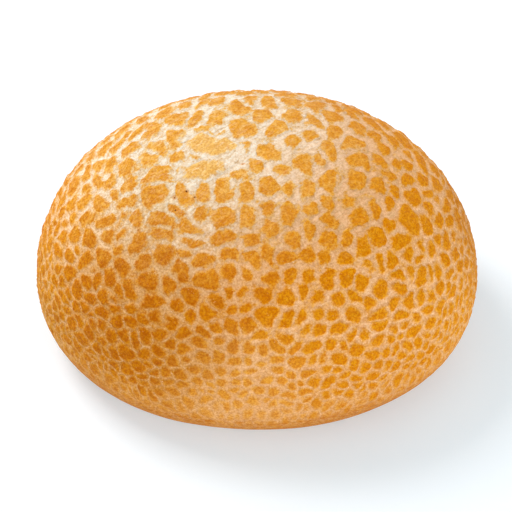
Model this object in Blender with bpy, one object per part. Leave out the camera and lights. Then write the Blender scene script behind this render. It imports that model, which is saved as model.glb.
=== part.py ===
# A tiger bread roll: one solid with a domed top, a rounded belly, a flat base and a crackled crust.
#
# The crust is a net of cracks round raised islands of baked paste. The islands are the cells of a
# net over the smooth roll, large on the crown, where the dough swelled most, and small on the flanks.
# Here and there a bridge of paste crosses a crack and makes one long island of two.
# X is along the roll, Y across it and +Z up. The origin is the middle of the base.

import math

import bmesh
import bpy
import numpy as np
from mathutils import Vector, noise

# The roll's real size, in metres
LENGTH = 0.105
WIDTH = 0.090
HEIGHT = 0.056
BELLY_HEIGHT = 0.0145  # the widest level, above the table
UNDERSIDE_DEPTH = 0.0158  # from the belly down to where the underside would end, had the table not cut it
UNDERSIDE_SHARE = 0.73  # how far out the underside's flat middle would reach, over the belly

# How square the curves are: 2 is an ellipse, and more is squarer
DOME_POWER = 2.05
CORNER_POWER = 2.17
PLAN_POWER = 2.08

# Slow unevenness of the hand-shaped dough: how far it swells, and how long a swelling is
LUMP_HEIGHT = 0.0005
LUMP_LENGTH = 0.030

# The seam where the crown tore open: a shallow groove on a line over the crown, seen from above
SEAM_START = Vector((-0.022, -0.024))
SEAM_END = Vector((0.011, 0.001))
SEAM_DEPTH = 0.0007
SEAM_HALF_WIDTH = 0.0020

# The islands of the crust
CROWN_SPACING = 0.0072  # between the middles of neighbouring islands on the crown
LEAST_SPACING = 0.0056
SPACING_SPREAD = 0.28  # the largest and smallest spacings differ from the usual one by this share
STRETCH_CENTRE = Vector((0.0, 0.002, -0.040))  # the further from here, the more the dough's skin stretched
STRETCH_POWER = 2.0
BRIDGED_SHARE = 0.22  # of the cracks
LOWEST_ISLAND = 0.001  # height at which the crackle has died out above the table
FULL_ISLAND = 0.024  # height from which it has its full relief
ISLAND_RISE = 0.00020  # from the smooth roll up to an island's rim
ISLAND_CROWNING = 0.00012  # from an island's rim up to its middle
CRACK_DEPTH = 0.00040  # from the smooth roll down to a crack's bottom
CRACK_SLOPE_SHARE = 0.15  # a crack's half width over the spacing of its islands
LOWEST_FLAT_TOP = 0.012  # the islands above this height have a flat top, and the faint ones below it a point
SEED = 11
TRIES = 30000

CRUST_COLOUR = (0.74, 0.37, 0.09, 1.0)
CRUST_ROUGHNESS = 0.55
SHARP_ANGLE = math.radians(26)


def clear_scene():
    for old in list(bpy.data.objects):
        bpy.data.objects.remove(old)


def smooth_step(low, high, value):
    share = min(max((value - low) / (high - low), 0.0), 1.0)
    return share * share * (3.0 - 2.0 * share)


def signed_power(value, power):
    return math.copysign(abs(value) ** power, value)


def smooth_roll(direction):
    """The point of the smooth roll in this direction from its middle, and the outward normal there."""
    level = math.hypot(direction.x, direction.y)
    along = signed_power(direction.x / max(level, 1e-9), 2.0 / PLAN_POWER)
    across = signed_power(direction.y / max(level, 1e-9), 2.0 / PLAN_POWER)
    if direction.z > 0:
        reach = level ** (2.0 / DOME_POWER)
        rise = (HEIGHT - BELLY_HEIGHT) * direction.z ** (2.0 / DOME_POWER)
        outward = max(level, 1e-6) ** (2.0 - 2.0 / DOME_POWER)
        upward = direction.z ** (2.0 - 2.0 / DOME_POWER) / (HEIGHT - BELLY_HEIGHT)
    else:
        downward = math.asin(min(-direction.z, 1.0)) / math.pi * 4.0
        turn = min(downward, 1.0) * math.pi / 2
        corner = max(math.cos(turn), 0.0)
        reach = UNDERSIDE_SHARE + (1.0 - UNDERSIDE_SHARE) * corner ** (2.0 / CORNER_POWER)
        reach *= 1.0 - max(downward - 1.0, 0.0)
        rise = -UNDERSIDE_DEPTH * math.sin(turn) ** (2.0 / CORNER_POWER)
        outward = corner ** (2.0 - 2.0 / CORNER_POWER) / (1.0 - UNDERSIDE_SHARE)
        upward = -(math.sin(turn) ** (2.0 - 2.0 / CORNER_POWER)) / UNDERSIDE_DEPTH
    point = Vector((LENGTH / 2 * reach * along, WIDTH / 2 * reach * across, BELLY_HEIGHT + rise))
    normal = Vector(
        (
            outward * signed_power(along, PLAN_POWER - 1.0) / (LENGTH / 2),
            outward * signed_power(across, PLAN_POWER - 1.0) / (WIDTH / 2),
            upward,
        )
    )
    return point, normal.normalized()


def seam_depth(point):
    """The groove's depth at a point: deepest half way along the seam's line, and nothing past its ends."""
    line = SEAM_END - SEAM_START
    share = (point.xy - SEAM_START).dot(line) / line.length_squared
    if point.z < BELLY_HEIGHT or not 0.0 < share < 1.0:
        return 0.0
    aside = (point.xy - SEAM_START - line * share).length
    return SEAM_DEPTH * math.sin(math.pi * share) * math.exp(-((aside / SEAM_HALF_WIDTH) ** 2))


def crust_point(direction, lift):
    """A point of the uneven crust, this lift above it or, if negative, below it."""
    point, normal = smooth_roll(direction)
    lump = LUMP_HEIGHT * noise.noise(point / LUMP_LENGTH)
    fade = smooth_step(LOWEST_ISLAND, FULL_ISLAND, point.z)
    return point + normal * (lump - seam_depth(point) + lift * fade)


def spacing_at(point):
    """How far apart the islands' middles lie at a point of the smooth roll."""
    crown = Vector((0.0, 0.0, HEIGHT))
    stretch = (point - STRETCH_CENTRE).length / (crown - STRETCH_CENTRE).length
    return max(CROWN_SPACING * stretch**STRETCH_POWER, LEAST_SPACING)


def scatter_islands(random):
    """Directions of the islands' middles, thrown at random and kept where they aren't too close together."""
    kept = []
    points = np.empty((0, 3))
    for throw in random.normal(size=(TRIES, 3)):
        direction = Vector(throw).normalized()
        point, _ = smooth_roll(direction)
        room = 0.84 * spacing_at(point) * random.uniform(1.0 - SPACING_SPREAD, 1.0 + SPACING_SPREAD)
        if not kept or np.linalg.norm(points - np.array(point), axis=1).min() > room:
            kept.append(direction)
            points = np.vstack([points, point])
    return kept


def neighbour_net(directions):
    """A closed net of triangles that joins neighbouring islands, and each of its points' direction."""
    net = bmesh.new()
    for direction in directions:
        net.verts.new(direction)
    bmesh.ops.convex_hull(net, input=net.verts)
    islands = {vert: vert.co.copy() for vert in net.verts}
    for vert, direction in islands.items():
        vert.co = smooth_roll(direction)[0]
    bmesh.ops.beautify_fill(net, faces=net.faces, edges=net.edges, method="ANGLE")
    return net, islands


def corners_round(vert):
    """The net's triangles round an island, in order, each with the edge that leads to the next."""
    first = vert.link_loops[0]
    loop = first
    found = []
    while True:
        before = loop.link_loop_prev
        found.append((loop.face, before.edge))
        loop = before.link_loop_radial_next
        if loop is first:
            return found


def build_crust():
    """The crust as one closed mesh: a ring of cracks round each island, and the island inside it."""
    random = np.random.RandomState(SEED)
    net, islands = neighbour_net(scatter_islands(random))
    crust = bmesh.new()
    corners = {}
    for face in net.faces:
        direction = sum((islands[vert] for vert in face.verts), Vector()).normalized()
        corners[face] = (direction, crust.verts.new(crust_point(direction, -CRACK_DEPTH)))
    rims = {}
    bridges = {}
    for edge in net.edges:
        if random.uniform() < BRIDGED_SHARE:
            ends = [corners[face][0] for face in edge.link_faces]
            bridges[edge] = crust.verts.new(crust_point((ends[0] + ends[1]).normalized(), ISLAND_RISE))
    for vert, middle in islands.items():
        add_island(crust, vert, middle, corners, bridges, rims)
    net.free()
    return crust


def add_island(crust, vert, middle, corners, bridges, rims):
    """One island: its middle, its rim and the slopes from the rim down into the cracks round it."""
    around = corners_round(vert)
    top = crust.verts.new(crust_point(middle, ISLAND_RISE + ISLAND_CROWNING))
    for (face, crossing), (next_face, _) in zip(around, around[1:] + around[:1]):
        low = corners[face][1]
        next_low = corners[next_face][1]
        bridge = bridges.get(crossing)
        if vert.co.z < LOWEST_FLAT_TOP:
            outline = [low, bridge, next_low] if bridge else [low, next_low]
            for first, second in zip(outline, outline[1:]):
                crust.faces.new((first, second, top))
            continue
        rim = rim_vertex(crust, vert, middle, corners[face], rims)
        next_rim = rim_vertex(crust, vert, middle, corners[next_face], rims)
        crust.faces.new((rim, next_rim, top))
        if bridge:
            crust.faces.new((low, bridge, rim))
            crust.faces.new((bridge, next_rim, rim))
            crust.faces.new((bridge, next_low, next_rim))
        else:
            crust.faces.new((low, next_low, next_rim, rim))


def rim_vertex(crust, vert, middle, corner, rims):
    """The rim's vertex inside one corner of an island's ring of cracks, made once for both its sides."""
    corner_direction, low = corner
    if (vert, low) not in rims:
        share = min(CRACK_SLOPE_SHARE * spacing_at(vert.co) / (low.co - vert.co).length, 0.45)
        direction = corner_direction.lerp(middle, share).normalized()
        rims[(vert, low)] = crust.verts.new(crust_point(direction, ISLAND_RISE))
    return rims[(vert, low)]


def cut_base(crust):
    """Flattens the underside at the table's level."""
    bmesh.ops.triangulate(crust, faces=crust.faces)
    everything = crust.verts[:] + crust.edges[:] + crust.faces[:]
    bmesh.ops.bisect_plane(crust, geom=everything, plane_co=(0, 0, 0), plane_no=(0, 0, 1), clear_inner=True)
    rim_verts = list({vert for edge in crust.edges if edge.is_boundary for vert in edge.verts})
    for vert in rim_verts:
        vert.co.z = 0.0
    bmesh.ops.remove_doubles(crust, verts=rim_verts, dist=0.0003)
    rim = [edge for edge in crust.edges if edge.is_boundary]
    base = bmesh.ops.holes_fill(crust, edges=rim, sides=0)["faces"]
    bmesh.ops.triangulate(crust, faces=base)
    bmesh.ops.recalc_face_normals(crust, faces=crust.faces)


def fit_to_size(crust):
    """Brings the uneven crust to the roll's length, width and height, standing round the origin."""
    points = np.array([vert.co for vert in crust.verts])
    low = points.min(axis=0)
    high = points.max(axis=0)
    foot = np.array([(low[0] + high[0]) / 2, (low[1] + high[1]) / 2, low[2]])
    scale = np.array([LENGTH, WIDTH, HEIGHT]) / (high - low)
    for vert, point in zip(crust.verts, (points - foot) * scale):
        vert.co = point


def crust_material():
    material = bpy.data.materials.new("tiger_crust")
    material.use_nodes = True
    shader = material.node_tree.nodes["Principled BSDF"]
    shader.inputs["Base Color"].default_value = CRUST_COLOUR
    shader.inputs["Roughness"].default_value = CRUST_ROUGHNESS
    shader.inputs["Metallic"].default_value = 0.0
    return material


def main():
    clear_scene()
    crust = build_crust()
    cut_base(crust)
    fit_to_size(crust)
    mesh = bpy.data.meshes.new("tiger_roll")
    crust.to_mesh(mesh)
    crust.free()
    mesh.shade_smooth()
    mesh.set_sharp_from_angle(angle=SHARP_ANGLE)
    mesh.materials.append(crust_material())
    bpy.context.scene.collection.objects.link(bpy.data.objects.new("tiger_roll", mesh))


main()
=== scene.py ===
# %% [markdown]
# # A tiger bread roll
#
# A tiger roll is a soft white roll. Before it goes into the oven, the baker brushes its dough with a
# thin paste of rice flour, yeast, oil and sugar. The paste bakes hard and golden while the dough
# below still swells, so it tears into islands, and the pale dough shows in the cracks between them.
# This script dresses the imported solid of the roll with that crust, and lights and frames it.

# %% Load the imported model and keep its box
import math

import bpy
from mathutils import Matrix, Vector


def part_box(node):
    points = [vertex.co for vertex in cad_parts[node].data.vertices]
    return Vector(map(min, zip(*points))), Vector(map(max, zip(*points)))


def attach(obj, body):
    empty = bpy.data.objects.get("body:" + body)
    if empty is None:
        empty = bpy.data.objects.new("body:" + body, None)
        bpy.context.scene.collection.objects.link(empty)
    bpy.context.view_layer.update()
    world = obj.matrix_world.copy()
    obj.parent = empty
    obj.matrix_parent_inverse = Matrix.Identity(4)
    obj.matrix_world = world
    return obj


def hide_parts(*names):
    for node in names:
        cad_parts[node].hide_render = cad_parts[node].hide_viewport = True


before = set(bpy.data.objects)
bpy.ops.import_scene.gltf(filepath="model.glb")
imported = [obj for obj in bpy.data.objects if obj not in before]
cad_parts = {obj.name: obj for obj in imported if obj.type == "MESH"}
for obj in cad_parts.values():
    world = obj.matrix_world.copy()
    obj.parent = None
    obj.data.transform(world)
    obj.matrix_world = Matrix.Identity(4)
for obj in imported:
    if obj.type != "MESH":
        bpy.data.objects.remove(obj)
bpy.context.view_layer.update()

ROLL_NODE = "tiger_roll"
low_corner, high_corner = (Vector(corner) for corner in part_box(ROLL_NODE))
print("box of the solid roll in mm:", [round(side * 1000, 1) for side in high_corner - low_corner])

# %% [markdown]
# ## Camera
#
# The roll is seen from in front and about 42 degrees above, from so far away that its outline hardly
# widens with perspective. A lens of 179 mm at 0.6 m gives that. The camera could be shifted to place
# the roll in the frame, but turning it by half a degree does the same, and other views keep it simple.

# %% Camera
ELEVATION = math.radians(42)
CAMERA_DISTANCE = 0.600
LENS_MM = 179.4
SENSOR_MM = 36.0
AIMED_AT = Vector((-0.0002, -0.0040, 0.0229))
VIEWED_CENTRE = Vector((0.0, 0.0, 0.02735))

camera_data = bpy.data.cameras.new("camera")
camera_data.lens = LENS_MM
camera_data.sensor_width = SENSOR_MM
camera = bpy.data.objects.new("camera", camera_data)
bpy.context.scene.collection.objects.link(camera)
towards_viewer = Vector((0, -math.cos(ELEVATION), math.sin(ELEVATION)))
camera.location = VIEWED_CENTRE + CAMERA_DISTANCE * towards_viewer
camera.rotation_euler = (AIMED_AT - camera.location).to_track_quat("-Z", "Y").to_euler()
bpy.context.scene.camera = camera
print("camera at", [round(c, 3) for c in camera.location])

# %% [markdown]
# ## Formulas as nodes
#
# A crust is mostly formulas: a height over a distance, a colour over a height. Each sum or product
# could be added as a node by hand, but then a formula of one line takes ten. A small class lets
# Python's own signs build the nodes, in Geometry Nodes and in a material alike.

# %% Sums and products of fields
def join(tree, value, socket):
    """Feeds a socket with a field, with another socket, or with a plain value."""
    if isinstance(value, Field):
        value = value.socket
    if isinstance(value, bpy.types.NodeSocket):
        tree.links.new(value, socket)
    else:
        socket.default_value = value


def add_node(tree, kind, settings=None, **inputs):
    """A new node. An input is named as in the editor, with _ for a space."""
    node = tree.nodes.new(kind)
    for name, value in (settings or {}).items():
        setattr(node, name, value)
    for name, value in inputs.items():
        wanted = name.replace("_", " ")
        socket = next(s for s in node.inputs if s.enabled and s.name.lower() == wanted.lower())
        join(tree, value, socket)
    return node


class Field:
    """A number or vector that varies over a surface."""

    def __init__(self, tree, socket):
        self.tree = tree
        self.socket = socket

    def operate(self, kind, operation, *others):
        node = self.tree.nodes.new(kind)
        node.operation = operation
        for value, socket in zip((self, *others), node.inputs):
            join(self.tree, value, socket)
        return node

    def math(self, operation, *others):
        return Field(self.tree, self.operate("ShaderNodeMath", operation, *others).outputs[0])

    def vector(self, operation, *others):
        node = self.operate("ShaderNodeVectorMath", operation, *others)
        return Field(self.tree, node.outputs["Vector"])

    def length(self):
        return Field(self.tree, self.operate("ShaderNodeVectorMath", "LENGTH").outputs["Value"])

    def dot(self, direction):
        """How far the vector reaches along the direction, times the direction's length."""
        node = self.operate("ShaderNodeVectorMath", "DOT_PRODUCT", direction)
        return Field(self.tree, node.outputs["Value"])

    def scaled(self, factor):
        node = self.operate("ShaderNodeVectorMath", "SCALE")
        join(self.tree, factor, node.inputs["Scale"])
        return Field(self.tree, node.outputs["Vector"])

    def parts(self):
        node = add_node(self.tree, "ShaderNodeSeparateXYZ", vector=self)
        return [Field(self.tree, socket) for socket in node.outputs]

    def eased(self, low, high):
        """From 0 where the field is low to 1 where it is high, with soft ends."""
        node = add_node(self.tree, "ShaderNodeMapRange", {"interpolation_type": "SMOOTHSTEP"},
                        value=self, from_min=low, from_max=high)
        return Field(self.tree, node.outputs["Result"])

    def between(self, at_none, at_all):
        """The first value where the field is 0, the second where it is 1."""
        return self * (at_all - at_none) + at_none

    def __add__(self, other):
        return self.math("ADD", other)

    __radd__ = __add__

    def __mul__(self, other):
        return self.math("MULTIPLY", other)

    __rmul__ = __mul__

    def __sub__(self, other):
        return self.math("SUBTRACT", other)

    def __rsub__(self, other):
        return (self * -1.0) + other

    def __truediv__(self, other):
        return self.math("DIVIDE", other)

    def __pow__(self, other):
        return self.math("POWER", other)


def vector_of(tree, x, y, z):
    return Field(tree, add_node(tree, "ShaderNodeCombineXYZ", x=x, y=y, z=z).outputs[0])


def noise(tree, place, scale, detail=2.0, roughness=0.5, distortion=0.0, colour=False):
    """Noise that wanders round 0.5, once every 1/scale of the place's units."""
    node = add_node(tree, "ShaderNodeTexNoise", vector=place, scale=scale, detail=detail,
                    roughness=roughness, distortion=distortion)
    return Field(tree, node.outputs[1 if colour else 0])


def wandering(tree, place, scale, reach, detail=1.0):
    """A vector that wanders round zero, to move a place by."""
    colour = noise(tree, place, scale, detail=detail, colour=True)
    return colour.vector("SUBTRACT", (0.5, 0.5, 0.5)).scaled(reach)


print("helpers ready")

# %% [markdown]
# ## The shape of the crust
#
# The dough swells to a dome over a rounded belly, and the tray flattens its underside. Its outline is
# a little squarer than an ellipse. It could be sculpted, but a superellipse follows the solid's named
# sizes exactly: each direction from the roll's middle gives one point of its surface. The crust's mesh
# is a cube of fine grids blown up to that shape, because a cube has no poles where the mesh would bunch up.

# %% The inputs of the crust's tree
CRUST_INPUTS = {
    "Length": 0.105,
    "Width": 0.090,
    "Height": 0.056,
    "Belly Height": 0.0145,
    "Underside Depth": 0.0158,
    "Underside Share": 0.73,
    "Island Rise": 0.00032,
    "Grid Vertices": 128,
    "Low Corner": low_corner,
    "High Corner": high_corner,
}


def new_tree(name, inputs):
    """An empty Geometry Nodes tree with named inputs, and its inputs as fields."""
    tree = bpy.data.node_groups.new(name, "GeometryNodeTree")
    tree.interface.new_socket("Geometry", in_out="INPUT", socket_type="NodeSocketGeometry")
    tree.interface.new_socket("Geometry", in_out="OUTPUT", socket_type="NodeSocketGeometry")
    for label, value in inputs.items():
        kind = "NodeSocketInt" if isinstance(value, int) else "NodeSocketFloat"
        if isinstance(value, Vector):
            kind = "NodeSocketVector"
        tree.interface.new_socket(label, in_out="INPUT", socket_type=kind)
    group_input = tree.nodes.new("NodeGroupInput")
    return tree, {label: Field(tree, group_input.outputs[label]) for label in inputs}


def run_tree(tree, inputs, name):
    """Runs the tree on an empty mesh and returns what it makes as a plain mesh object."""
    holder = bpy.data.objects.new(name, bpy.data.meshes.new(name))
    bpy.context.scene.collection.objects.link(holder)
    modifier = holder.modifiers.new("nodes", "NODES")
    modifier.node_group = tree
    for item in tree.interface.items_tree:
        if item.in_out == "INPUT" and item.name in inputs:
            modifier[item.identifier] = inputs[item.name]
    evaluated = holder.evaluated_get(bpy.context.evaluated_depsgraph_get())
    mesh = bpy.data.meshes.new_from_object(evaluated)
    holder.modifiers.clear()
    holder.data = mesh
    mesh.name = name
    print(name, "has", len(mesh.vertices), "vertices and", len(mesh.polygons), "faces")
    return holder


print(len(CRUST_INPUTS), "inputs for the crust")

# %% From a direction to a point of the roll
DOME_POWER = 2.05
CORNER_POWER = 2.17
PLAN_POWER = 2.08
TINY = 1e-6


def signed_power(field, power):
    return field.math("ABSOLUTE") ** power * field.math("SIGN")


def point_on_roll(tree, size, direction):
    """The point of the smooth roll in this direction from its middle. The underside goes on below
    the table, where it is flattened later."""
    x, y, z = direction.parts()
    level = (x * x + y * y).math("SQRT").math("MAXIMUM", TINY)
    along = signed_power(x / level, 2.0 / PLAN_POWER)
    across = signed_power(y / level, 2.0 / PLAN_POWER)
    dome_reach = level ** (2.0 / DOME_POWER)
    dome_rise = (size["Height"] - size["Belly Height"]) * z.math("MAXIMUM", 0.0) ** (2.0 / DOME_POWER)
    downward = (z * -1.0).math("MAXIMUM", 0.0).math("ARCSINE") * (4.0 / math.pi)
    turn = downward.math("MINIMUM", 1.0) * (math.pi / 2)
    corner = turn.math("COSINE").math("MAXIMUM", 0.0) ** (2.0 / CORNER_POWER)
    corner_reach = corner.between(size["Underside Share"], 1.0)
    corner_reach = corner_reach * (1.0 - (downward - 1.0).math("MAXIMUM", 0.0))
    drop = size["Underside Depth"] * turn.math("SINE").math("MAXIMUM", 0.0) ** (2.0 / CORNER_POWER)
    reach = z.math("LESS_THAN", 0.0).between(dome_reach, corner_reach)
    return vector_of(tree, size["Length"] * 0.5 * reach * along, size["Width"] * 0.5 * reach * across,
                     size["Belly Height"] + dome_rise - drop)


print("outline power", PLAN_POWER, "where an ellipse has 2")

# %% [markdown]
# ## The crackle
#
# The paste tears where the dough below stretches, into islands that are large on the crown and small
# on the flanks. Points could be scattered over the roll and joined into a net of cracks, but then the
# cracks would be no finer than the mesh. So the roll is spread flat, the way a map of the globe is
# drawn from its far pole: shapes stay true, and the flanks come out larger than the crown. Even cells
# on that map are cells that shrink down the flanks on the roll. The map grows more slowly below the
# belly, and it is squeezed at the two ends and behind the crown, where the real islands are longer.

# %% Spread the roll flat
FAR_POLE = 1.02          # a little past 1, so that the middle of the underside stays on the map
EXTRA_SPREAD = 0.08      # how much further than a true map the flanks are spread
BELOW_BELLY = 0.45       # how fast the map grows below the belly, against above it
ACROSS_SHARE = 0.87      # cells come out longer across the roll than along it
ENDS_FROM = 20.0         # mm from the middle, where the ends begin
LONGER_AT_ENDS = 0.16
LONGER_BEHIND = 0.24
SOFT_AT_ENDS = 8.0       # mm over which the squeezing sets in
SOFT_BEHIND = 6.0
HALF_IN_MM = 500.0       # half a side in metres, told in mm


def spread_out(tree, size, direction):
    """The place on the flat map, in mm as long as on the crown, and as its third part how many times
    larger the map is there."""
    x, y, z = direction.parts()
    level = (x * x + y * y).math("SQRT").math("MAXIMUM", TINY)
    slowed = z.math("MAXIMUM", 0.0) + z.math("MINIMUM", 0.0) * BELOW_BELLY
    slowed_level = (1.0 - slowed * slowed).math("SQRT")
    below = slowed + FAR_POLE
    enlarged = (slowed_level / below * EXTRA_SPREAD + 1.0) * 2.0 / below
    outwards = enlarged * slowed_level / level
    along = x * outwards * size["Length"] * HALF_IN_MM
    across = y * outwards * size["Width"] * (HALF_IN_MM * ACROSS_SHARE)
    past_ends = (along.math("ABSOLUTE") - ENDS_FROM).math("SMOOTH_MAX", 0.0, SOFT_AT_ENDS)
    along = along - past_ends * along.math("SIGN") * LONGER_AT_ENDS
    across = across - across.math("SMOOTH_MAX", 0.0, SOFT_BEHIND) * LONGER_BEHIND
    return vector_of(tree, along, across, enlarged)


print("the map is squeezed by", LONGER_AT_ENDS, "at the ends and by", LONGER_BEHIND, "behind the crown")

# %% [markdown]
# ## Islands on the map
#
# On the map the net is a pattern of cells, whose edges are the cracks. Its bare cells have sharp corners
# and straight sides, which torn paste never has. So the distance to an edge is averaged over a small
# ring, which rounds the corners, and noise bends the net, varies the cracks' width and gives the islands
# lobes. Loose flecks lie in the cracks. Two wide, thin islands of the crown are given as ellipses. The
# same formula makes the relief in Geometry Nodes and the fine colours in the material.
# Nothing here needs a seed: noise and cells depend only on the place on the map, so every run bakes the
# same roll.

# %% Nets of cells
CELL_RANDOMNESS = 0.9
RING_SPOTS = 6
RING_TURN = 20           # degrees
RING_GAIN = 1.35         # makes up for what the mean takes off inside a cell


def from_edge(tree, place, spacing):
    """The distance to the nearest edge in a net of random cells."""
    node = add_node(tree, "ShaderNodeTexVoronoi", {"voronoi_dimensions": "2D", "feature": "DISTANCE_TO_EDGE"},
                    vector=place, scale=1.0 / spacing, randomness=CELL_RANDOMNESS)
    return Field(tree, node.outputs["Distance"]) * spacing


def from_rounded_edge(tree, place, spacing, radius):
    """The same for cells with round corners: the mean of the distances on a ring, with its rise on an
    edge undone."""
    around = [math.radians(360 / RING_SPOTS * spot + RING_TURN) for spot in range(RING_SPOTS)]
    ring = [place.vector("ADD", (radius * math.cos(turn), radius * math.sin(turn), 0.0)) for turn in around]
    mean = sum(from_edge(tree, spot, spacing) for spot in ring) / RING_SPOTS
    on_edge = radius * 2.0 / math.pi
    return (mean * mean - on_edge * on_edge).math("MAXIMUM", 0.0).math("SQRT") * RING_GAIN


print("corners are rounded by", RING_SPOTS, "spots on a ring")

# %% The two wide islands
# For each: its middle on the map and its half sizes, in mm, and its turn in degrees
WIDE_ISLANDS = [((-10.2, -1.2), (5.8, 2.4), -17), ((-11.8, -7.5), (5.4, 2.4), 8)]


def wide_islands(tree, place):
    """How far inside the wide, thin islands of the crown the place is."""
    inside = []
    for middle, (half_length, half_width), degrees in WIDE_ISLANDS:
        cosine, sine = math.cos(math.radians(degrees)), math.sin(math.radians(degrees))
        from_middle = place.vector("SUBTRACT", (*middle, 0.0))
        lengthwise = from_middle.dot((cosine / half_length, sine / half_length, 0.0))
        crosswise = from_middle.dot((-sine / half_width, cosine / half_width, 0.0))
        reach = (lengthwise * lengthwise + crosswise * crosswise).math("SQRT")
        inside.append((1.0 - reach) * half_width)
    first, second = inside
    return first.math("MAXIMUM", second)


print(len(WIDE_ISLANDS), "wide islands")

# %% The whole crackle
# Lengths are in mm on the map. A pair holds a noise's scale per mm, and how far it moves what it moves.
ISLAND_SPACING = 5.2
BLOB_SPACING = 3.0
CRACK_HALF_WIDTH = 0.36
ROUNDING = 0.85
MIXED_SIZES = 0.075, 6.0
CROOKED = 0.30, 1.8
FRAYED = 0.30, 4.0
UNEVEN_SCALE = 0.26
LOBE_SCALE, LOBES = 0.50, 1.1
FLECK_SPACING = 3.4
FLECK_RADIUS = 0.75
FLECK_BLEND = 0.3
NOTCH_SCALE, NOTCH_DEPTH = 0.17, 0.3
ROUND_WIDE = 0.9         # the crack round a wide island


def crackle(tree, spread):
    """How far inside an island the place is, how far from the seams between its blobs, and from a
    crack's middle, and how far inside one of the wide islands."""
    enlarged = spread.parts()[2]
    flat = spread.vector("MULTIPLY", (1.0, 1.0, 0.0))
    bent = flat.vector("ADD", wandering(tree, flat, *MIXED_SIZES))
    bent = bent.vector("ADD", wandering(tree, flat, *CROOKED))
    place = bent.vector("MULTIPLY", (1.0, 1.0, 0.0))

    width_share = noise(tree, place, UNEVEN_SCALE, detail=1.0).eased(0.30, 0.70).between(-0.15, 1.55)
    half_width = CRACK_HALF_WIDTH * width_share * enlarged.eased(1.8, 1.0).between(0.80, 1.40)
    lobe_share = enlarged.eased(1.35, 1.0).between(1.0, 1.5)
    lobes = (noise(tree, flat, LOBE_SCALE, detail=1.0) - 0.5) * lobe_share * LOBES
    island = from_rounded_edge(tree, place, ISLAND_SPACING, ROUNDING) - half_width + lobes
    middle = from_edge(tree, place, ISLAND_SPACING)

    fleck = add_node(tree, "ShaderNodeTexVoronoi", {"voronoi_dimensions": "2D", "feature": "F1"},
                     vector=place, scale=1.0 / FLECK_SPACING, randomness=1.0)
    radius_share = Field(tree, fleck.outputs["Color"]).parts()[0].between(-0.9, 0.7)
    inside_fleck = FLECK_RADIUS * radius_share - Field(tree, fleck.outputs["Distance"]) * FLECK_SPACING
    island = island.math("SMOOTH_MAX", inside_fleck, FLECK_BLEND)

    seam = from_edge(tree, place, BLOB_SPACING)
    notched = noise(tree, flat, NOTCH_SCALE, detail=1.0).eased(0.35, 0.70)
    notch = (1.0 - seam.eased(0.0, 1.0)) * notched * NOTCH_DEPTH
    wide = wide_islands(tree, flat.vector("ADD", wandering(tree, flat, *FRAYED, detail=2.0)))
    island = (island - notch).math("MINIMUM", wide * -1.0 - ROUND_WIDE).math("MAXIMUM", wide)
    return island / enlarged, seam / enlarged, middle / enlarged, wide


print("an island every", ISLAND_SPACING, "mm on the crown")

# %% [markdown]
# ## The smooth roll and its two maps
#
# The tree starts with the smooth dough, before its crust. A ball of rings and spokes could be shaped,
# but its poles would pinch, so a cube is blown up to a ball. Its grid is lifted towards the crown, which
# is looked at most. Two vectors are kept on each point, because the later steps move the points: the
# place on the flat map, and the place on the smooth roll.

# %% A fine round grid, and what is kept on it
GRID_LIFT = 0.40
MM_PER_METRE = 1000.0

tree, size = new_tree("tiger_crust", CRUST_INPUTS)
position = Field(tree, tree.nodes.new("GeometryNodeInputPosition").outputs[0])
normal = Field(tree, tree.nodes.new("GeometryNodeInputNormal").outputs[0])
x, y, z = position.parts()


def placed(tree, geometry, **how):
    """The mesh with its points at a new position, or moved by an offset."""
    return add_node(tree, "GeometryNodeSetPosition", geometry=geometry, **how).outputs[0]


def kept_on_mesh(tree, geometry, name, value):
    """Keeps a field on the mesh as an attribute, and returns the mesh and the kept field."""
    stored = add_node(tree, "GeometryNodeStoreNamedAttribute",
                      {"data_type": "FLOAT_VECTOR", "domain": "POINT"},
                      geometry=geometry, name=name, value=value)
    read = add_node(tree, "GeometryNodeInputNamedAttribute", {"data_type": "FLOAT_VECTOR"}, name=name)
    return stored.outputs[0], Field(tree, read.outputs[0])


cube = add_node(tree, "GeometryNodeMeshCube", size=(2.0, 2.0, 2.0), vertices_x=size["Grid Vertices"],
                vertices_y=size["Grid Vertices"], vertices_z=size["Grid Vertices"])
evenly = vector_of(tree, *((side * (math.pi / 4)).math("TANGENT") for side in (x, y, z)))
upwards = evenly.vector("NORMALIZE").vector("ADD", (0.0, 0.0, GRID_LIFT)).vector("NORMALIZE")
ball = placed(tree, cube.outputs["Mesh"], position=upwards)
ball, spread = kept_on_mesh(tree, ball, "spread", spread_out(tree, size, position))
smooth_roll = placed(tree, ball, position=point_on_roll(tree, size, position))
smooth_roll, _ = kept_on_mesh(tree, smooth_roll, "bare", position.scaled(MM_PER_METRE))
print("the grid keeps its place on the map and on the smooth roll")

# %% [markdown]
# ## The relief
#
# Islands stand proud of the cracks, pimples cover the paste, and dough that was shaped by hand swells
# unevenly. A shallow crease crosses the crown where it tore. A displaced image could show all that too,
# but here each of them keeps a size of its own that can be changed. Each point moves along its normal
# by their sum, of which only the swelling is left close to the tray.

# %% The relief of the crust
# For each: its scale per metre, its height in metres, and its detail
SWELLING = 30.0, 0.0010, 2.0
PIMPLES = [(110.0, 0.00050, 2.0), (420.0, 0.00085, 2.0), (900.0, 0.00060, 1.0)]
BLOB_RISE = 0.00005
CREASE_FROM = Vector((-0.0225, -0.0215))
CREASE_TO = Vector((0.0115, 0.0045))
CREASE_DEPTH = 0.0005
CREASE_WIDTH = 0.0016
CREASE_WAVE = 90.0, 0.006


def bumps(tree, place, per_metre, rise, detail=2.0):
    return (noise(tree, place, per_metre, detail=detail) - 0.5) * rise


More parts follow.
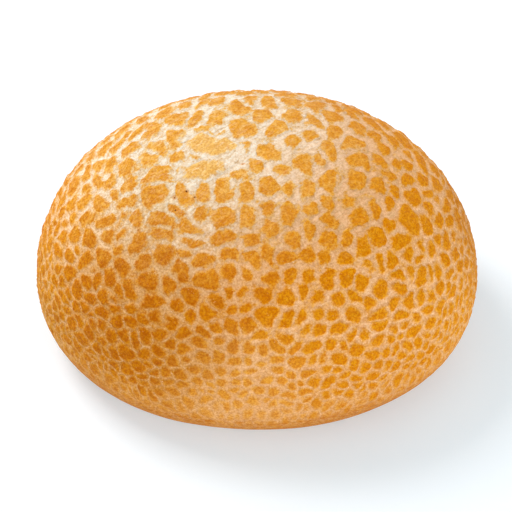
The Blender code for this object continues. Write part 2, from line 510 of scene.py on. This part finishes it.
island, seam, _, _ = crackle(tree, spread)
raised = island.eased(-0.35, 0.35) * size["Island Rise"] + seam.eased(0.0, 0.9) * BLOB_RISE
pimples = sum(bumps(tree, position, *layer) for layer in PIMPLES)

run = CREASE_TO - CREASE_FROM
from_start = position.vector("SUBTRACT", (*CREASE_FROM, 0.0))
share = from_start.dot((*(run / run.length_squared), 0.0))
aside = from_start.dot((-run.y / run.length, run.x / run.length, 0.0)) + bumps(tree, position, *CREASE_WAVE)
crease = (((aside / CREASE_WIDTH) ** 2.0) * -1.0).math("EXPONENT")
crease = crease * share.eased(0.0, 0.3) * share.eased(1.0, 0.7) * z.eased(0.03, 0.04)

lift = bumps(tree, position, *SWELLING) + z.eased(0.001, 0.018) * (raised + pimples) - crease * CREASE_DEPTH
uneven_roll = placed(tree, smooth_roll, offset=normal.scaled(lift))
print("islands rise", CRUST_INPUTS["Island Rise"] * MM_PER_METRE, "mm, pimples have", len(PIMPLES), "sizes")

# %% [markdown]
# ## The flat underside
#
# A roll lies flat on what it was baked on. The underside could be cut off, but that leaves a sharp edge
# and triangles of all sizes. So points below the table are raised to it, through a soft maximum that
# rounds the edge as baking does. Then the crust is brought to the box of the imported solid, whose place
# it takes, and the result becomes a plain mesh.

# %% The flat underside, the final size and the mesh
UNDERSIDE_EDGE = 0.0012  # metres over which the edge is rounded

flattened = vector_of(tree, x, y, z.math("SMOOTH_MAX", 0.0, UNDERSIDE_EDGE))
cut = placed(tree, uneven_roll, position=flattened)

box = add_node(tree, "GeometryNodeBoundBox", geometry=cut)
box_low = Field(tree, box.outputs["Min"])
box_size = Field(tree, box.outputs["Max"]).vector("SUBTRACT", box_low)
wanted_size = size["High Corner"].vector("SUBTRACT", size["Low Corner"])
fitted = position.vector("SUBTRACT", box_low).vector("DIVIDE", box_size).vector("MULTIPLY", wanted_size)
fitted = placed(tree, cut, position=fitted.vector("ADD", size["Low Corner"]))
smooth = add_node(tree, "GeometryNodeSetShadeSmooth", geometry=fitted)
real = add_node(tree, "GeometryNodeRealizeInstances", geometry=smooth.outputs[0])

crust_material = bpy.data.materials.new("tiger_crust")
finished = add_node(tree, "GeometryNodeSetMaterial", geometry=real.outputs[0], material=crust_material)
group_output = tree.nodes.new("NodeGroupOutput")
tree.links.new(finished.outputs[0], group_output.inputs[0])

crust = run_tree(tree, CRUST_INPUTS, "roll_crust")

# %% [markdown]
# ## The crust's material
#
# The islands are baked paste: golden, paler on the crown and, as painted light, towards its left, with
# darker cores, ragged rims, a fine grain and painted glints. The cracks show the dough's skin: cream on
# the crown, with painted light that spreads it towards the upper left and back, where the key light
# falls, tan on the flanks, lighter along their middles than beside the islands, and wrinkled where the
# skin stretched, with painted shade in the folds and painted highlights on the ridges. Here and there the
# oven browned the crust more, and at the two ends painted shade darkens it. A few specks are burnt, each
# in an orange ring. Close to the tray the islands fade and the skin flakes, and the underside is baked
# evenly.
#
# A painted picture could show all that, but it would blur and stretch on a round form. So each colour
# is laid over the last by a formula, which reads the two vectors that the tree kept on the mesh: the
# place on the map, for the crackle, and the place on the smooth roll in millimetres, for all else.

# %% Colours and how they are laid
def linear(red, green, blue):
    """A colour picked on a screen, from 0 to 255, as the light it stands for."""
    shares = (channel / 255 for channel in (red, green, blue))
    return (*(c / 12.92 if c < 0.04045 else ((c + 0.055) / 1.055) ** 2.4 for c in shares), 1.0)


def blend(tree, share, first, second):
    """The first colour where the share is 0, and the second where it is 1."""
    node = tree.nodes.new("ShaderNodeMix")
    node.data_type = "RGBA"
    join(tree, share, node.inputs[0])
    join(tree, first, node.inputs[6])
    join(tree, second, node.inputs[7])
    return node.outputs[2]


def toned(tree, colour, tone):
    """The colour, made lighter or darker by a tone."""
    node = add_node(tree, "ShaderNodeVectorMath", {"operation": "MULTIPLY"})
    join(tree, colour, node.inputs[0])
    join(tree, tone, node.inputs[1])
    return node.outputs[0]


def kept_vector(tree, name):
    return Field(tree, add_node(tree, "ShaderNodeAttribute", {"attribute_name": name}).outputs["Vector"])


crust_material.use_nodes = True
skin = crust_material.node_tree
skin.nodes.clear()
bare = kept_vector(skin, "bare")
right, behind, height = bare.parts()
island, seam, middle, wide = crackle(skin, kept_vector(skin, "spread"))
print("places are read in mm, so the crown's height is", CRUST_INPUTS["Height"] * MM_PER_METRE)

# %% [markdown]
# ## Rims
#
# A real island ends in a rim so ragged that no line could draw it, sharp on the crown and soft at the
# foot. One number says how far inside an island a place is, and noise is added to it, so the rim frays
# but the islands stay where the relief has them. On the crown the rims are also drawn out along the
# wrinkles. The islands are a little smaller at the right and close to the tray, and they fade in a pale
# patch low in front.

# %% Ragged rims
TORN_AT = Vector((-4.2, -7.4, 55.4))
TORN_RADIUS = 2.9
PALER_AT = Vector((-5.0, -43.0, 18.0))
PALER_RADIUS = 19.0
WRINKLE_TURN = math.radians(38)
WRINKLE_SIZES = (3.2, 0.9, 0.9)
RAG = 1.3                # mm that noise moves a rim
RAG_ON_CROWN = 1.8       # and more along the wrinkles of the crown
RIM_SOFTNESS = 0.36      # mm
SOFTER_BELOW = 0.22
SOFTER_AT_FOOT = 0.32


def distance_from(place, centre):
    return place.vector("SUBTRACT", centre).length()


along_wrinkles = add_node(skin, "ShaderNodeMapping", {"vector_type": "TEXTURE"}, vector=bare,
                          rotation=(0.0, 0.0, WRINKLE_TURN), scale=WRINKLE_SIZES)
along_wrinkles = Field(skin, along_wrinkles.outputs[0])
ragged = (noise(skin, bare, 1.7, detail=4.0, roughness=0.8) - 0.5) * RAG
drawn_out = noise(skin, along_wrinkles, 0.7, detail=3.0, roughness=0.7) - 0.5
ragged = ragged + drawn_out * height.eased(36.0, 52.0) * RAG_ON_CROWN

slow_noise = noise(skin, bare, 0.09, detail=2.0)
torn = (distance_from(bare, TORN_AT) / TORN_RADIUS).eased(1.3, 0.3)
paler = (distance_from(bare, PALER_AT) / PALER_RADIUS + slow_noise * 0.8).eased(1.6, 0.7)
near_base = height.eased(20.0, 4.0)
underside = height.eased(2.0, -0.6)

smaller = torn * 2.0 + underside * 2.5 + right.eased(-35.0, 25.0) * 0.12 + near_base * 0.14 + paler * 0.25
edge = island + ragged - smaller + 0.05
softness = height.eased(52.0, 34.0) * SOFTER_BELOW + near_base * SOFTER_AT_FOOT + RIM_SOFTNESS
on_island = (edge + 0.08).eased(softness * -0.75, softness * 1.08)
softest = RIM_SOFTNESS + SOFTER_BELOW + SOFTER_AT_FOOT
print("rims are", RIM_SOFTNESS, "mm soft on the crown and", round(softest, 2), "mm at the foot")

# %% [markdown]
# ## Cracks
#
# In the cracks the dough's own skin shows, cream on the crown, where it stretched most, and tan on the
# flanks. The cream also reaches further towards the upper left and back, where the key light falls: that
# part is painted light. One colour with noise on it could serve, but then the roll looks flat. So two
# blends follow the height, and a third browns the skin beside the islands.

# %% Colours of the cracks
CRACK_HIGH = linear(243, 190, 138)
CRACK_CREAM = linear(255, 239, 214)
CRACK_LOW = linear(230, 171, 112)
CRACK_BY_ISLAND = linear(222, 160, 94)

# cream on the crown; its lean towards the upper left and back is painted light, where the key light falls
cream_and_lit = (height - right.math("MAXIMUM", -20.0) * 0.58 + behind * 0.25).eased(31.5, 65.0)
crack_colour = blend(skin, cream_and_lit, CRACK_HIGH, CRACK_CREAM)
crack_colour = blend(skin, height.eased(34.0, 10.0), crack_colour, CRACK_LOW)
halo = edge.eased(-0.85, -0.10) * height.eased(58.0, 42.0).between(0.10, 0.40)
crack_colour = blend(skin, halo, crack_colour, CRACK_BY_ISLAND)
print("with the cracks, the material has", len(skin.nodes), "nodes")

# %% [markdown]
# ## Islands
#
# An island bakes deepest in its middle, and its thin rim stays pale. Each island could get a colour of
# its own at random, but real ones change within an island and with height. So each colour is a pair,
# for the flanks and for the crown, and the depth inside the island chooses between the pale and the
# deep one. The crown's share leans to the left, where the key light falls, so its paler colours are
# partly painted light. Darker cores, a faded foot and the pale patch in front are laid over them.

# %% Colours of the islands
DEEP, DEEP_ON_CROWN = linear(218, 133, 2), linear(230, 160, 48)
PALE, PALE_ON_CROWN = linear(232, 159, 26), linear(250, 206, 130)
CORE, CORE_ON_CROWN = linear(200, 112, 0), linear(220, 142, 26)
FADED = linear(230, 168, 90)

# paler colours on the crown; their lean to the left is painted light, where the key light falls
crown_and_lit_share = (height - right * 0.20).eased(38.0, 60.0)
mottle = noise(skin, bare, 0.8, detail=3.0, roughness=0.55)
depth_share = edge.eased(-0.2, 0.7) * seam.eased(0.0, 0.6).between(0.6, 1.0)
depth_share = depth_share * mottle.eased(0.25, 0.75).between(0.7, 1.3)
depth_share = depth_share * wide.eased(-0.3, 0.6).between(1.0, 0.55)
pale = blend(skin, crown_and_lit_share, PALE, PALE_ON_CROWN)
deep = blend(skin, crown_and_lit_share, DEEP, DEEP_ON_CROWN)
island_colour = blend(skin, depth_share, pale, deep)

core = edge.eased(0.1, 0.7) * noise(skin, bare, 0.38, detail=1.0).eased(0.44, 0.60)
core = core * right.eased(32.0, -6.0) * wide.eased(0.0, -0.6)
core_colour = blend(skin, crown_and_lit_share, CORE, CORE_ON_CROWN)
island_colour = blend(skin, core * 0.55, island_colour, core_colour)
faded = near_base * noise(skin, bare, 0.17, detail=1.0).eased(0.40, 0.60)
island_colour = blend(skin, faded * 0.62, island_colour, FADED)
island_colour = blend(skin, paler * 0.32, island_colour, FADED)
colour = blend(skin, on_island, crack_colour, island_colour)
print("with the islands, the material has", len(skin.nodes), "nodes")

# %% [markdown]
# ## Browning and painted shade
#
# The oven browns a roll unevenly: the foot bakes against the hot tray and flakes, and the crust is
# browner in several soft areas round the crown and low down. At the two ends the darkening is painted
# shade, where the light falls off. Each darker area is a soft ball round a place, and its tint is
# multiplied into the colour, so that the islands and cracks below still show. Laying a brown over them
# would hide them.

# %% The foot, the browner areas and the painted shade at the ends
BAKED, BAKED_DARK = linear(214, 148, 68), linear(188, 112, 36)
FLAKE = linear(202, 118, 22)
FLAT_FLAKES = (0.32, 0.32, 1.9)
NO_TINT = (1.0, 1.0, 1.0, 1.0)
# For each: its middle and its radius in mm, and its tint
BROWNER_AND_SHADED = [
    (Vector((-27.0, -34.0, 27.0)), 28.0, (0.77, 0.65, 0.38, 1.0)),   # low at the left
    (Vector((-4.0, -30.0, 44.0)), 21.0, (0.94, 0.88, 0.78, 1.0)),    # in front of the crown
    (Vector((-27.0, -19.0, 45.0)), 17.0, (0.94, 0.87, 0.74, 1.0)),   # at the left of the crown
    # the left end: painted shade, where the light falls off
    (Vector((-50.0, -12.0, 16.0)), 20.0, (0.88, 0.89, 0.86, 1.0)),   # the left end
    (Vector((24.0, -41.0, 8.0)), 30.0, (0.93, 0.88, 0.84, 1.0)),     # low at the right
    # the right end: painted shade, where the key light falls off and the side is in half-shade
    (Vector((53.0, 4.0, 24.0)), 21.0, (0.88, 0.84, 0.84, 1.0)),      # the right end
]

baked = blend(skin, mottle.eased(0.3, 0.7), BAKED, BAKED_DARK)
at_foot = (height + slow_noise * 6.0).eased(15.0, 7.5)
colour = blend(skin, at_foot * 0.7 + underside * 0.25, colour, baked)
above_tray = height.eased(0.5, 3.5)
flakes = noise(skin, bare.vector("MULTIPLY", FLAT_FLAKES), 1.0, detail=3.0, roughness=0.6).eased(0.49, 0.57)
flakes = flakes * above_tray * (height + slow_noise * 4.0).eased(13.0, 8.5)
colour = blend(skin, flakes * 0.8, colour, FLAKE)
# the browner areas and the painted shade at the two ends, multiplied into the colour
for centre, radius, tint in BROWNER_AND_SHADED:
    darkening = (distance_from(bare, centre) / radius + slow_noise * 0.6).eased(1.5, 0.5)
    colour = toned(skin, colour, blend(skin, darkening, NO_TINT, tint))
print(len(BROWNER_AND_SHADED), "browner areas")

# %% [markdown]
# ## Wrinkles and fibres
#
# The stretched skin is wrinkled across the crown, and fine fibres run along the middles of the cracks.
# Waves could make the wrinkles, but they would run too evenly, so noise is drawn out in one direction.
# It is finer than the mesh, so it is colour and bump and not geometry: the colour is painted shade in
# the folds and painted highlights on the ridges.

# %% Wrinkles and fibres
# colours of the painted shade in the wrinkles' folds and of the painted highlights on their ridges
WRINKLE_PAINTED_SHADE = linear(220, 180, 122)
WRINKLE_PAINTED_HIGHLIGHT = linear(255, 245, 226)
FIBRE = linear(250, 220, 180)

wrinkles = noise(skin, along_wrinkles, 1.1, detail=4.0, roughness=0.65, distortion=0.6)
wrinkled_share = height.eased(38.0, 52.0).between(0.2, 1.0)
wrinkled_share = wrinkled_share * (1.0 - on_island * wide.eased(-0.3, 0.6).between(0.75, 0.50))
# painted shade in the folds of the wrinkles, and painted highlights on their ridges
colour = blend(skin, wrinkles.eased(0.50, 0.36) * wrinkled_share * 0.55, colour, WRINKLE_PAINTED_SHADE)
colour = blend(skin, wrinkles.eased(0.50, 0.62) * wrinkled_share * cream_and_lit * 0.65, colour, WRINKLE_PAINTED_HIGHLIGHT)
fibre = middle.eased(0.22, 0.04) * (1.0 - on_island) * mottle.eased(0.35, 0.60)
fibre = fibre * height.eased(48.0, 24.0).between(0.2, 1.0) * above_tray
fibre = fibre * near_base.math("MAXIMUM", paler).between(1.0, 0.25)
colour = blend(skin, fibre * 0.35, colour, FIBRE)
print("wrinkles are", round(WRINKLE_SIZES[0] / WRINKLE_SIZES[1], 1), "times longer than wide")

# %% [markdown]
# ## Grain, painted glints and burnt specks
#
# All of the crust is grainy. Glints are painted on it as small light spots, full in the cracks and
# fainter on the islands. A grain of one colour could be laid over it, but that would hide what is below,
# so the grain is a tone that makes each place darker or lighter. The few burnt specks are laid on at
# listed places, each in its orange ring.

# %% Grain, painted glints and burnt specks
CRACK_DARKER, CRACK_LIGHTER = (0.86, 0.77, 0.66, 1.0), (1.14, 1.22, 1.34, 1.0)
ISLAND_DARKER, ISLAND_LIGHTER = (0.87, 0.72, 0.52, 1.0), (1.12, 1.24, 1.30, 1.0)
# the colour of the painted glints, small light spots that stand in for glinting grains
PAINTED_GLINT = linear(255, 228, 190)
BURNT, BURNT_RING = linear(110, 44, 0), linear(226, 152, 62)
SPECK_RADIUS = 0.15
BURNT_SPECKS = [
    (-1.5, 3.5, 55.9), (-3.1, -7.9, 55.4), (-15.9, -14.2, 52.2), (-18.6, -15.1, 51.2), (-18.3, -18.3, 50.1),
    (-26.7, -20.2, 45.8), (-14.0, -16.0, 52.0), (21.0, -4.0, 53.0), (-33.0, -12.0, 43.0),
]

grain = noise(skin, bare, 2.0, detail=2.0, roughness=0.8)
grain_strength = on_island * 0.30 + height.eased(54.0, 40.0) * 0.25 + right.eased(-15.0, -38.0) * 0.5 + 0.85
lighter_share = (grain.eased(0.3, 0.7) - 0.5) * grain_strength + 0.5
darker = blend(skin, on_island, CRACK_DARKER, ISLAND_DARKER)
lighter = blend(skin, on_island, CRACK_LIGHTER, ISLAND_LIGHTER)
grain_tone = blend(skin, lighter_share, darker, lighter)

# painted glints: small light spots, full in the cracks and fainter on the islands
painted_glints = noise(skin, bare, 2.8, detail=1.0).eased(0.68, 0.78) * on_island.between(1.0, 0.3)
colour = blend(skin, painted_glints * 0.7, colour, PAINTED_GLINT)
for place in BURNT_SPECKS:
    away = distance_from(bare, place) + ragged * 0.3
    colour = blend(skin, away.eased(SPECK_RADIUS * 5.0, SPECK_RADIUS * 2.0) * 0.7, colour, BURNT_RING)
    colour = blend(skin, away.eased(SPECK_RADIUS * 1.6, SPECK_RADIUS * 0.6), colour, BURNT)
print(len(BURNT_SPECKS), "burnt specks")

# %% [markdown]
# ## Gloss and bump
#
# Baked paste is a little smoother than bare dough, and both hardly shine. Islands, grain and wrinkles
# tilt the light through a bump. They could be raised in the mesh, but grain so fine would take millions
# of triangles.

# %% Gloss and bump
BUMP_HEIGHT = 0.00030
BUMP_STRENGTH = 0.7
CRACK_ROUGHNESS, ISLAND_ROUGHNESS = 0.75, 0.50
SPECULAR_LEVEL = 0.03

surface = on_island * 0.6 + grain * 1.2 + wrinkles * wrinkled_share * 4.0
bump = add_node(skin, "ShaderNodeBump", strength=BUMP_STRENGTH, distance=BUMP_HEIGHT, height=surface)
shader = add_node(skin, "ShaderNodeBsdfPrincipled", base_color=toned(skin, colour, grain_tone),
                  normal=bump.outputs[0], roughness=on_island.between(CRACK_ROUGHNESS, ISLAND_ROUGHNESS))
shader.inputs["Specular IOR Level"].default_value = SPECULAR_LEVEL
output = skin.nodes.new("ShaderNodeOutputMaterial")
skin.links.new(shader.outputs[0], output.inputs[0])
print("the crust's material has", len(skin.nodes), "nodes")

# %% [markdown]
# ## In the solid's place
#
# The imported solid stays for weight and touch, and the crust is what is seen. Both could be shown, but
# their surfaces lie so close that the solid would show through, so it is hidden.

# %% The crust takes the solid roll's place
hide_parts(ROLL_NODE)
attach(crust, "root")
print(crust.name, "stands for", ROLL_NODE)

# %% [markdown]
# ## Paper floor
#
# The roll lies on white paper. Plain paper would do, but the shadow on it would be darker than it should
# be and take too much orange from the roll. So the paper glows by itself, a little more in blue.

# %% Paper floor
HALF_FLOOR = 3.0
PAPER_FINISH = {
    "Base Color": (0.70, 0.68, 0.68, 1.0),
    "Roughness": 0.9,
    "Emission Color": (0.26, 0.365, 0.417, 1.0),
    "Emission Strength": 1.0,
}

corners = [(-HALF_FLOOR, -HALF_FLOOR, 0), (HALF_FLOOR, -HALF_FLOOR, 0),
           (HALF_FLOOR, HALF_FLOOR, 0), (-HALF_FLOOR, HALF_FLOOR, 0)]
floor_mesh = bpy.data.meshes.new("floor")
floor_mesh.from_pydata(corners, [], [(0, 1, 2, 3)])
floor = bpy.data.objects.new("floor", floor_mesh)
bpy.context.scene.collection.objects.link(floor)
paper = bpy.data.materials.new("paper")
paper.use_nodes = True
for name, value in PAPER_FINISH.items():
    paper.node_tree.nodes["Principled BSDF"].inputs[name].default_value = value
floor_mesh.materials.append(paper)
print("floor of", 2 * HALF_FLOOR, "m")

# %% [markdown]
# ## Lights
#
# Soft light comes from the upper left and back. One light would be enough to see the roll, but the side
# that faces the viewer would stay dull. So a wide, low fill shines from the right, and two weak ones
# reach the left end and the back.

# %% Lights
# For each: its place, what it is aimed at and its width, in metres, and its power in watts
LIGHTS = {
    "key": ((-0.55, 0.45, 0.85), (0, 0, 0.02), 0.5, 7.8),
    "right fill": ((0.80, -1.0, 0.20), (0, 0, 0.02), 0.8, 9.8),
    "left fill": ((-1.0, -0.5, 0.35), (0, 0, 0.02), 0.8, 1.8),
    "back fill": ((0.45, 1.0, 0.40), (0, 0, 0.03), 0.8, 2.0),
}
ROOM_LIGHT = 0.51

for name, (place, aim, width, power) in LIGHTS.items():
    light = bpy.data.lights.new(name, "AREA")
    light.size = width
    light.energy = power
    lamp = bpy.data.objects.new(name, light)
    bpy.context.scene.collection.objects.link(lamp)
    lamp.location = place
    lamp.rotation_euler = (Vector(aim) - Vector(place)).to_track_quat("-Z", "Y").to_euler()

world = bpy.data.worlds.new("studio")
bpy.context.scene.world = world
world.use_nodes = True
world.node_tree.nodes["Background"].inputs["Color"].default_value = (1.0, 1.0, 1.0, 1.0)
world.node_tree.nodes["Background"].inputs["Strength"].default_value = ROOM_LIGHT
bpy.context.scene.view_settings.view_transform = "Standard"
print(len(LIGHTS), "lights")
